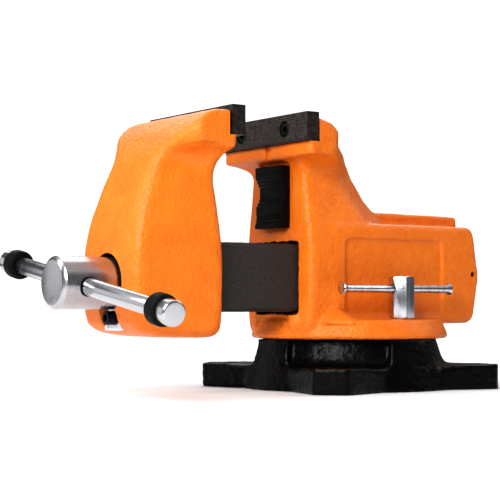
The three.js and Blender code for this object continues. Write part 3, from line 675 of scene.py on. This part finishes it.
def ragged(tool):
    """Breaks up the edge that a tool leaves, as the paint's edge at a cast mouth is broken."""
    divide = tool.modifiers.new("divide", "REMESH")
    divide.mode = "VOXEL"
    divide.voxel_size = RAGGED_VOXEL * MM
    apply_modifiers(tool)
    sand_cast(tool, RAGGED_SKIN, 4.2)
    return tool


# ---- front jaw ----


def make_front_jaw():
    obj = cad_copy("front_jaw", "front_jaw_cast_and_painted")
    seat_y = front_low.y - FRONT_SEAT_RELIEF * MM
    seat_z = front_low.z - CLEARANCE * MM
    _, washer_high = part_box("thrust_washer")
    bore_floor = washer_high.y + CLEARANCE * MM
    rear_face = FRONT_JAW_REAR * MM
    ledge = FRONT_LEDGE * MM
    _, plate_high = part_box("spindle_retainer")
    slot_half = plate_high.x + CLEARANCE * MM
    slot_floor = plate_high.y + CLEARANCE * MM

    def plugs(bm):
        channel_box(bm, (SOCKET_CLEARANCE + 1) * MM, bar_low.y - 0.003, rear_face)
        half = SEAT_HALF_WIDTH * MM
        add_box(bm, (-half, seat_y - 0.002, seat_z - 0.0005), (half, ledge, SEAT_TOP * MM))
        radius = HUB_RADIUS + (HUB_CLEARANCE + 1.5) * MM
        plug = [(0, 0), (radius, 0), (radius, 0.021), (0, 0.021)]
        add_lathe(bm, plug, 64, along_y(0, -0.2205, SPINDLE_Z))
        # The slot under the hub: the jaw's front slopes back, so the lower block starts further back.
        for slot_front, low_z, high_z in ((-218.2 * MM, 0.0535, 0.07), (-0.2143, 0.048, 0.054)):
            low = (-slot_half - 0.001, slot_front, low_z)
            high = (slot_half + 0.001, slot_floor + 0.001, high_z)
            add_box(bm, low, high)

    def crispness(point):
        """Crisper along the ledge under the insert."""
        return 0.8 * near(abs(point.z - 182 * MM) - 5 * MM, 4 * MM) * near(ledge - 5 * MM - point.y, 4 * MM)

    fill(obj, plugs)
    soften(obj, BODY_VOXEL * MM, 13, crispness)
    sand_cast(obj, CASTING_SKIN, 1.3)
    bm = bmesh.new()
    channel_box(bm, SOCKET_CLEARANCE * MM, bar_low.y - SOCKET_CLEARANCE * MM, -0.12)
    boolean(obj, from_bmesh("tool", bm))
    cut_box(obj, (-0.07, seat_y, seat_z), (0.07, front_high.y + 0.05, 0.22))
    radius = HUB_RADIUS + HUB_CLEARANCE * MM
    front = HUB_MOUTH * MM
    cutter = [(0, -0.26), (radius + 0.002, -0.26), (radius + 0.0004, front), (radius, front + 0.0006)]
    cutter += [(radius, bore_floor), (0, bore_floor)]
    cut_lathe(obj, cutter, 96, along_y(0, 0, SPINDLE_Z))
    cut_box(obj, (-slot_half, -0.24, 0.03), (slot_half, slot_floor, SPINDLE_Z - 0.012))
    shade(obj, 40)
    stand_in(obj, "front_jaw", ORANGE)

    def machined_and_painted_shade(centre, normal):
        """The hub's bore, the retainer's slot, the bar's socket and the insert's seat: bare iron, made near
        black as painted shade in these gaps and hollows.
        """
        off_axis = math.hypot(centre.x, centre.z - SPINDLE_Z)
        in_bore = off_axis < radius + 0.0002 and centre.y < bore_floor + 0.0001 and centre.z > 0.06
        in_slot = centre.z < 0.07 and abs(centre.y - slot_floor) < 0.0001 and abs(centre.x) < slot_half
        beside_bar = abs(centre.x) < bar_high.x + 0.0006 and 0.058 < centre.z < 0.1125
        inside = bar_low.y - 0.001 < centre.y < -0.1455
        in_socket = beside_bar and inside and max(abs(n) for n in normal) > 0.98
        flat = abs(normal.z) > 0.99 or abs(normal.y) > 0.99
        seat_height = seat_z - 0.0001 < centre.z < front_high.z - 0.0035
        in_seat = flat and seat_height and seat_y - 0.0002 < centre.y < ledge
        return in_bore or in_slot or in_socket or in_seat

    # Painted shade: the bore, the slot, the socket and the seat get near-black bare iron.
    finish_faces(obj, BARE_AND_SHADE, machined_and_painted_shade)
    return obj


def make_slide_bar():
    obj = cad_copy("slide_bar", "slide_bar_casting")
    soften(obj, BAR_VOXEL * MM, 5)
    sand_cast(obj, BAR_SKIN, 5.5)
    shade(obj, 60)
    return stand_in(obj, "slide_bar", BAR)


# ---- jaw inserts ----


def tooth(u):
    """1 in a valley, 0 on a tooth's tip."""
    return abs(2 * (u - math.floor(u)) - 1)


def grid_lines(start, end, rim, count):
    """Both ends, and between the rims a line at every tooth's tip and valley."""
    inner_start, inner_end = start + rim, end - rim
    inner = [inner_start + (inner_end - inner_start) * k / (2 * count) for k in range(2 * count + 1)]
    return [start, *inner, end]


def make_insert(node, name, face_y, back_y):
    """A plate with a pyramid-toothed grip face inside a chamfered rim."""
    low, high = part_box(node)
    inward = 1 if back_y > face_y else -1
    rim = INSERT_RIM * MM
    columns = round((high.x - low.x) / (TOOTH_PITCH * MM))
    rows = round((high.z - low.z) / (TOOTH_PITCH * MM))
    xs = grid_lines(low.x, high.x, rim, columns)
    zs = grid_lines(low.z, high.z, rim, rows)
    bm = bmesh.new()
    grid = []
    for i, x in enumerate(xs):
        line = []
        for j, z in enumerate(zs):
            edge = i in (0, len(xs) - 1) or j in (0, len(zs) - 1)
            depth = rim if edge else TOOTH_DEPTH * MM * max(tooth((i - 1) / 2), tooth((j - 1) / 2))
            line.append(bm.verts.new((x, face_y + inward * depth, z)))
        grid.append(line)
    for i in range(len(xs) - 1):
        for j in range(len(zs) - 1):
            bm.faces.new((grid[i][j], grid[i + 1][j], grid[i + 1][j + 1], grid[i][j + 1]))
    last_i, last_j = len(xs) - 1, len(zs) - 1
    rim_walk = [(i, 0) for i in range(last_i)] + [(last_i, j) for j in range(last_j)]
    rim_walk += [(i, last_j) for i in range(last_i, 0, -1)] + [(0, j) for j in range(last_j, 0, -1)]
    outline = [grid[i][j] for i, j in rim_walk]
    back = [bm.verts.new((v.co.x, back_y, v.co.z)) for v in outline]
    for k, vert in enumerate(outline):
        after = (k + 1) % len(outline)
        bm.faces.new((vert, outline[after], back[after], back[k]))
    bm.faces.new(back)
    obj = from_bmesh(name, bm)
    jaw_side = node.split("_")[0]
    outside, through = face_y - inward * 0.005, back_y + inward * 0.005
    shoulder, length = 0.005 + COUNTERBORE_DEPTH * MM, abs(through - outside)
    big, small = COUNTERBORE_RADIUS * MM, (SHANK_RADIUS + 0.3) * MM
    profile = [(0, 0), (big, 0), (big, shoulder), (small, shoulder), (small, length), (0, length)]
    bm = bmesh.new()
    for side in ("left", "right"):
        screw_low, screw_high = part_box(f"{jaw_side}_insert_screw_{side}")
        x = (screw_low.x + screw_high.x) / 2
        add_lathe(bm, profile, 48, along_y(x, outside, INSERT_MIDDLE, inward))
    boolean(obj, from_bmesh("tool", bm))
    shade(obj, 20)
    return stand_in(obj, node, INSERT)


# ---- fasteners ----


def make_socket_screw(node, name, head_radius, head_length, direction):
    """A cap screw along Y or Z: rounded head with a hexagonal socket and a plain shank."""
    low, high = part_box(node)
    centre = (low + high) / 2
    length = max(high - low)
    shank = SHANK_RADIUS * MM if length < 0.024 else 5 * MM
    head = head_length * MM
    radius = head_radius * MM
    profile = [(0, 0), *edge_arc(radius, 0, 0.0006, False), (radius, head - 0.0002), (radius - 0.0002, head)]
    profile += [(shank, head), (shank, length - 0.0008), (shank - 0.0008, length), (0, length)]
    place = {
        "+Y": along_y(centre.x, low.y, centre.z),
        "-Y": along_y(centre.x, high.y, centre.z, -1),
        "+Z": Matrix.Translation((centre.x, centre.y, low.z)),
    }[direction]
    obj = lathe_object(name, profile, 48, place)
    socket = radius * 0.58
    cut_lathe(obj, [(0, -0.002), (socket, -0.002), (socket, head * 0.6), (0, head * 0.6)], 6, place)
    shade(obj)
    return stand_in(obj, node, OXIDE)


def make_screws():
    for side in ("left", "right"):
        make_socket_screw(f"static_insert_screw_{side}", f"static_cap_screw_{side}", 4.8, 5.7, "+Y")
        make_socket_screw(f"front_insert_screw_{side}", f"front_cap_screw_{side}", 4.8, 5.7, "-Y")
    make_socket_screw("retainer_screw", "retainer_cap_screw", 5, 5.8, "+Y")
    make_socket_screw("nut_bolt", "nut_cap_screw", 8, 10, "+Z")


# ---- pipe jaws ----
# Depth of the face from the jaw's back against height over its foot, in millimetres.
PIPE_FACE = [
    (8.9, 0), (8.9, 2.6), (8.0, 4.6), (7.7, 5.0), (7.7, 7.4), (6.9, 7.9), (7.7, 8.5), (7.7, 9.2), (6.9, 9.7),
    (7.7, 10.3), (7.7, 17.0), (7.1, 17.8), (6.5, 18.0), (6.5, 19.4), (5.7, 20.4), (5.0, 20.7), (4.9, 22.2),
    (4.3, 23.2), (4.1, 26.0), (4.1, 32.2), (5.6, 33.0), (5.3, 34.6), (6.9, 35.4), (6.6, 37.0), (8.1, 37.8),
    (7.8, 39.2), (8.4, 40.2), (8.4, 47.5),
]


def make_pipe_jaw(node, name, facing):
    """facing is -1 when the face looks towards -Y."""
    low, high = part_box(node)
    seat = (STATIC_PIPE_SEAT if facing < 0 else FRONT_PIPE_SEAT) * MM
    face = [(seat + facing * d * MM, low.z + h * MM) for d, h in PIPE_FACE]
    outline = [(seat, low.z), *face, (seat, high.z)]
    bm = bmesh.new()
    left = [bm.verts.new((low.x, y, z)) for y, z in outline]
    right = [bm.verts.new((high.x, y, z)) for y, z in outline]
    bm.faces.new(left)
    bm.faces.new(right)
    for k in range(len(outline)):
        after = (k + 1) % len(outline)
        bm.faces.new((left[k], left[after], right[after], right[k]))
    obj = from_bmesh(name, bm)
    bevel_edges(obj, 0.0003, 25)
    stem_end = high.y if facing < 0 else low.y
    radius, length = PIPE_STEM_RADIUS * MM, abs(stem_end - seat) + 0.001
    place = along_y(0, min(seat, stem_end) - (0.001 if facing < 0 else 0), (low.z + high.z) / 2)
    stem = lathe_object("tool", [(0, 0), (radius, 0), (radius, length), (0, length)], 40, place)
    boolean(obj, stem, "UNION")
    shade(obj, 30)
    return stand_in(obj, node, PIPE)


# ---- spindle and handle ----
joints = frame["record"]["behaviour"]["joints"]
handle_axis = Vector(next(j for j in joints if j["name"] == "handle_slide")["axis"])
handle_turn = handle_axis.to_track_quat("Z", "Y").to_matrix().to_4x4()
HANDLE_Y = sum(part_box("handle_bar")[k].y for k in (0, 1)) / 2
HANDLE_FRAME = Matrix.Translation((0, HANDLE_Y, SPINDLE_Z)) @ handle_turn


def handle_reach(node):
    """How far a node of the handle reaches along the bar to either side of the spindle's axis."""
    mesh = frame["nodes"][node].data
    inverse = HANDLE_FRAME.inverted()
    heights = [(inverse @ v.co).z for v in mesh.vertices]
    return min(heights), max(heights)


def make_spindle():
    groove_low, groove_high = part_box("spindle_retainer")
    gap = CLEARANCE * MM
    root = GROOVE_RADIUS * MM
    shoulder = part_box("thrust_washer")[0].y - gap
    front = spindle_low.y
    screw = SCREW_RADIUS * MM
    hub = HUB_RADIUS
    groove_front, groove_rear = groove_low.y - gap, groove_high.y + gap
    screw_start = SCREW_START * MM
    profile = [(0, front), (hub - 0.0032, front), (hub - 0.0026, front + 0.0002)]
    profile += [(hub - 0.0003, front + 0.0021), (hub, front + 0.0026)]
    profile += [(hub, groove_front), (root, groove_front), (root, groove_rear), (hub, groove_rear)]
    profile += [(hub, shoulder), (screw, shoulder), (screw, screw_start - 0.001)]
    profile += [(screw - 0.001, screw_start), (0, screw_start)]
    obj = lathe_object("spindle_hub_and_screw", profile, 128, along_y(0, 0, SPINDLE_Z))
    hole = CROSS_HOLE_RADIUS * MM
    half = [(0, 0.03), (hole + 0.0061, 0.03), (hole + 0.0006, hub), (hole, hub - 0.0022)]
    cutter = [(r, -h) for r, h in half] + half[::-1]
    cut_lathe(obj, cutter, 64, HANDLE_FRAME)
    thread = make_thread(screw, screw_start - 0.0005, spindle_high.y)
    boolean(obj, thread, "UNION")
    shade(obj, 30)
    return stand_in(obj, "spindle", POLISHED)


def make_thread(crest, start, end):
    """Trapezoidal screw thread, one start, as a wavy lathe: the radius is a function of angle and length."""
    pitch, depth = THREAD_PITCH * MM, THREAD_DEPTH * MM
    around, step = 48, pitch / 10
    count = round((end - start) / step)
    place = along_y(0, 0, SPINDLE_Z)
    bm = bmesh.new()
    rings = []
    for i in range(count + 1):
        height = start + (end - start) * i / count
        fade = min(1, (end - height) / (1.2 * pitch), (height - start) / pitch + 0.2)
        ring = []
        for k in range(around):
            a = 2 * math.pi * k / around
            u = (height / pitch + k / around) % 1
            flank = min(1, max(0, (abs(2 * u - 1) - 0.34) / 0.3))
            radius = crest - depth * flank if height > start + 0.002 else crest - 0.001
            radius -= (1 - max(0, fade)) * 0.0012
            ring.append(bm.verts.new(place @ Vector((radius * math.cos(a), radius * math.sin(a), height))))
        rings.append(ring)
    for lower, upper in zip(rings, rings[1:]):
        for k in range(around):
            after = (k + 1) % around
            bm.faces.new((lower[k], lower[after], upper[after], upper[k]))
    bm.faces.new(rings[0])
    bm.faces.new(rings[-1])
    return from_bmesh("thread", bm)


def make_handle():
    low, high = handle_reach("handle_bar")
    bar = HANDLE_RADIUS * MM
    profile = [(0, low), *edge_arc(bar, low, 0.0005, False, 2)]
    profile += [*edge_arc(bar, high, 0.0005, True, 2), (0, high)]
    obj = lathe_object("tommy_bar", profile, 64, HANDLE_FRAME)
    shade(obj)
    stand_in(obj, "handle_bar", CHROME)
    for side, sign in (("right", 1), ("left", -1)):
        turn = HANDLE_FRAME if sign > 0 else HANDLE_FRAME @ Matrix.Rotation(math.pi, 4, "X")
        low, high = sorted(sign * h for h in handle_reach(f"handle_cap_{side}"))
        make_cap(side, low, high, turn)
        low, high = sorted(sign * h for h in handle_reach(f"handle_bumper_{side}"))
        make_bumper(side, low, high, turn)


def make_cap(side, low, high, place):
    radius, inner = CAP_RADIUS * MM, HANDLE_BORE_RADIUS * MM
    floor = low + CAP_SOCKET * MM
    profile = [(0, floor), (inner, floor), (inner, low), *edge_arc(radius, low, 0.0008, False, 3)]
    profile += [*edge_arc(radius, high, 0.0016, True, 6), (radius - 0.004, high + 0.00005)]
    profile.append((0, high + 0.0001))
    obj = lathe_object(f"bar_cap_{side}", profile, 72, place)
    shade(obj)
    return stand_in(obj, f"handle_cap_{side}", CHROME)


def make_bumper(side, low, high, place):
    radius, inner = BUMPER_RADIUS * MM, HANDLE_BORE_RADIUS * MM
    profile = [(inner, low), *edge_arc(radius, low, 0.0022, False, 6)]
    profile += [*edge_arc(radius, high, 0.0022, True, 6), (inner, high)]
    obj = lathe_object(f"rubber_bumper_{side}", profile, 72, place, closed=True)
    shade(obj, 60)
    return stand_in(obj, f"handle_bumper_{side}", RUBBER)


# ---- swivel locks ----


def make_lock(side):
    bar_low_corner, bar_high_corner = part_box(f"lock_bar_{side}")
    bar_z = (bar_low_corner.z + bar_high_corner.z) / 2
    low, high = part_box(f"lock_nut_{side}")
    x, y = (low.x + high.x) / 2, (low.y + high.y) / 2
    make_lock_nut(side, x, y, low.z, high.z, bar_z)
    rod, y0, y1 = LOCK_ROD_RADIUS * MM, bar_low_corner.y, bar_high_corner.y
    head = (bar_high_corner.z - bar_low_corner.z) / 2
    end = [(0, 0), (head - 0.0007, 0), (head, 0.0006), (head - 0.0001, 0.0013), (rod + 0.0007, 0.0026)]
    end.append((rod, 0.0044))
    profile = [(r, y0 + h) for r, h in end] + [(r, y1 - h) for r, h in reversed(end)]
    bar = lathe_object(f"lock_t_bar_{side}", profile, 48, along_y(x, 0, bar_z))
    shade(bar)
    stand_in(bar, f"lock_bar_{side}", ZINC)


def make_lock_nut(side, x, y, bottom, top, bar_z):
    """A tall hexagonal nut with turned ends, a hole for its bolt and a cross hole for the T-bar."""
    corner = NUT_CORNER * MM
    upright = Matrix.Translation((x, y, 0))
    turned = upright @ Matrix.Rotation(math.radians(90 + NUT_TURN), 4, "Z")
    prism = [(0, bottom), (corner, bottom), (corner, top), (0, top)]
    nut = lathe_object(f"lock_hex_nut_{side}", prism, 6, turned)
    rounding = [(0, bottom), (corner - 0.0018, bottom), (corner - 0.0002, bottom + 0.0016)]
    rounding += [(corner + 0.001, bottom + 0.003), (corner + 0.001, top - 0.0018)]
    rounding += [(corner - 0.0002, top - 0.0008), (corner - 0.0015, top), (0, top)]
    boolean(nut, lathe_object("tool", rounding, 96, upright), "INTERSECT")
    bevel_edges(nut, 0.0004, 40)
    hole, mouth, stud = LOCK_HOLE_RADIUS * MM, LOCK_HOLE_MOUTH * MM, STUD_RADIUS * MM
    flat = corner * 0.98
    half = [(0, 0.015), (mouth, 0.015), (mouth, flat), (hole, flat - 0.0012)]
    cross_hole = [(r, -h) for r, h in half] + half[::-1]
    bolt_hole = [(0, bottom - 0.005), (stud, bottom - 0.005), (stud, bar_z - 0.0046), (0, bar_z - 0.0046)]
    bm = bmesh.new()
    add_lathe(bm, cross_hole, 40, along_y(x, y, bar_z))
    add_lathe(bm, bolt_hole, 40, upright)
    boolean(nut, from_bmesh("tool", bm))
    shade(nut, 25)
    stand_in(nut, f"lock_nut_{side}", ZINC)


# ---- small hidden and rear pieces ----


def make_small_pieces():
    stand_in(bevel_copy("spindle_retainer", "retainer_plate", 0.0006), "spindle_retainer", ZINC)
    stand_in(bevel_copy("tail_cover", "rear_cover", 0.0005), "tail_cover", OXIDE)
    stand_in(bevel_copy("spindle_nut", "screw_nut_block", 0.0006), "spindle_nut", BRONZE)
    for side, sign in (("right", 1), ("left", -1)):
        low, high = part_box(f"tail_pin_{side}")
        radius, length = (high.y - low.y) / 2, high.x - low.x
        place = along_x(low.x, (low.y + high.y) / 2, (low.z + high.z) / 2)
        profile = [(0, 0), *edge_arc(radius, 0, 0.0004, False, 2)]
        profile += [*edge_arc(radius, length, 0.0004, True, 2), (0, length)]
        pin = lathe_object(f"cover_drive_pin_{side}", profile, 32, place)
        shade(pin)
        stand_in(pin, f"tail_pin_{side}", OXIDE)
    kept = {"thrust_washer": BRONZE, "lock_bolt_right": ZINC, "lock_bolt_left": ZINC}
    for node, finish in kept.items():
        frame["nodes"][node].data.materials.clear()
        frame["nodes"][node].data.materials.append(finish)


# ---- floor, light and camera ----
FLOOR_RADIUS = 0.62            # metres; the white backdrop carries on beyond it


def make_stage():
    floor_material = material("pale_floor", (0.9, 0.9, 0.9), 0.8)
    bump(floor_material, [(object_noise(floor_material, 30, 2), 0.02, 0.001)])
    bm = bmesh.new()
    bmesh.ops.create_circle(bm, cap_ends=True, segments=96, radius=FLOOR_RADIUS)
    floor = from_bmesh("floor", bm)
    floor.location.z = -0.0004
    floor.data.materials.append(floor_material)


def softbox(name, place, size, power, target=(0, -0.06, 0.1)):
    light = bpy.data.lights.new(name, "AREA")
    light.shape = "RECTANGLE"
    light.size, light.size_y = size
    light.energy = power
    lamp = bpy.data.objects.new(name, light)
    bpy.context.scene.collection.objects.link(lamp)
    lamp.location = place
    lamp.rotation_euler = (Vector(target) - Vector(place)).to_track_quat("-Z", "Y").to_euler()


def make_world():
    """A white backdrop to the camera, and a dim room to everything else, so that metal stays contrasty."""
    world = bpy.data.worlds.new("studio")
    bpy.context.scene.world = world
    world.use_nodes = True
    nodes, links = world.node_tree.nodes, world.node_tree.links
    room = nodes["Background"]
    room.inputs["Color"].default_value = (0.95, 0.97, 1.0, 1)
    room.inputs["Strength"].default_value = 0.12
    backdrop = nodes.new("ShaderNodeBackground")
    backdrop.inputs["Color"].default_value = (1, 1, 1, 1)
    backdrop.inputs["Strength"].default_value = 1.0
    path = nodes.new("ShaderNodeLightPath")
    mix = nodes.new("ShaderNodeMixShader")
    links.new(path.outputs["Is Camera Ray"], mix.inputs["Fac"])
    links.new(room.outputs["Background"], mix.inputs[1])
    links.new(backdrop.outputs["Background"], mix.inputs[2])
    links.new(mix.outputs["Shader"], nodes["World Output"].inputs["Surface"])


def make_light():
    make_world()
    softbox("key", (0.42, -0.72, 0.46), (0.4, 0.4), 6.6)
    softbox("front", (-0.35, -0.9, 0.75), (0.4, 0.6), 3)
    softbox("panel", (-1.7, -1.5, 0.42), (1.6, 1.1), 4)
    softbox("overhead", (0, 0, 2.4), (5, 5), 34, (0, 0, 0))
    softbox("rear", (0.5, 1.2, 0.9), (0.8, 0.6), 4)
    softbox("backdrop_wash", (-0.95, 0.65, 1.0), (1.4, 1.4), 16, (-0.95, 0.65, 0))
    bpy.context.scene.view_settings.view_transform = "Standard"
    bpy.context.scene.view_settings.look = "Medium High Contrast"


def make_camera():
    data = bpy.data.cameras.new("camera")
    data.lens = 105.3
    data.sensor_width = 36.0
    camera = bpy.data.objects.new("camera", data)
    bpy.context.scene.collection.objects.link(camera)
    camera.location = (0.9138, -0.7307, 0.0637)
    looking = Vector((-0.8207, 0.5700, 0.0384))
    camera.rotation_euler = looking.to_track_quat("-Z", "Y").to_euler()
    bpy.context.scene.camera = camera


make_camera()
make_stage()
make_light()
make_base()
make_body()
make_front_jaw()
make_slide_bar()
make_insert("static_jaw_insert", "static_serrated_insert", static_low.y, static_high.y)
make_insert("front_jaw_insert", "front_serrated_insert", front_high.y, front_low.y)
make_screws()
make_pipe_jaw("static_pipe_jaw", "static_pipe_grip", -1)
make_pipe_jaw("front_pipe_jaw", "front_pipe_grip", 1)
make_spindle()
make_handle()
make_lock("right")
make_lock("left")
make_small_pieces()
